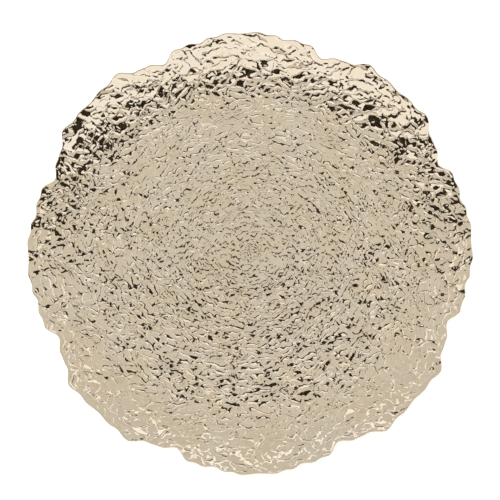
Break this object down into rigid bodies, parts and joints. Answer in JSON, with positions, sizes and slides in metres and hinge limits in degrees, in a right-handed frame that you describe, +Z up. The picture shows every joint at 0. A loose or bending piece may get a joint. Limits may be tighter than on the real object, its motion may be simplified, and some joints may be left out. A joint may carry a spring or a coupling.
{
  "type": "charger plate",
  "caption": "Round charger plate with a wide flat well, a sloping rim with a ruffled edge, and stick-on foot pads; it lies under a dinner plate.",
  "frame": {"origin": "middle of the resting plane, at the lower faces of the foot pads", "axes": "+Z up through the middle of the well; +X runs through the middle of a wide rim lobe"},
  "size_m": [0.3292, 0.3292, 0.019],
  "materials": {
    "gold_plastic": "moulded plastic with a bright champagne gold metallic coat",
    "clear_pad": "clear soft polyurethane, smooth",
    "adhesive": "pressure-sensitive adhesive disc"
  },
  "bodies": {
    "root": {"plate_body": "gold_plastic", "foot_pad_front": "clear_pad", "foot_pad_right": "clear_pad", "foot_pad_back": "clear_pad", "foot_pad_left": "clear_pad", "pad_adhesive_front": "adhesive", "pad_adhesive_right": "adhesive", "pad_adhesive_back": "adhesive", "pad_adhesive_left": "adhesive"}
  },
  "joints": []
}
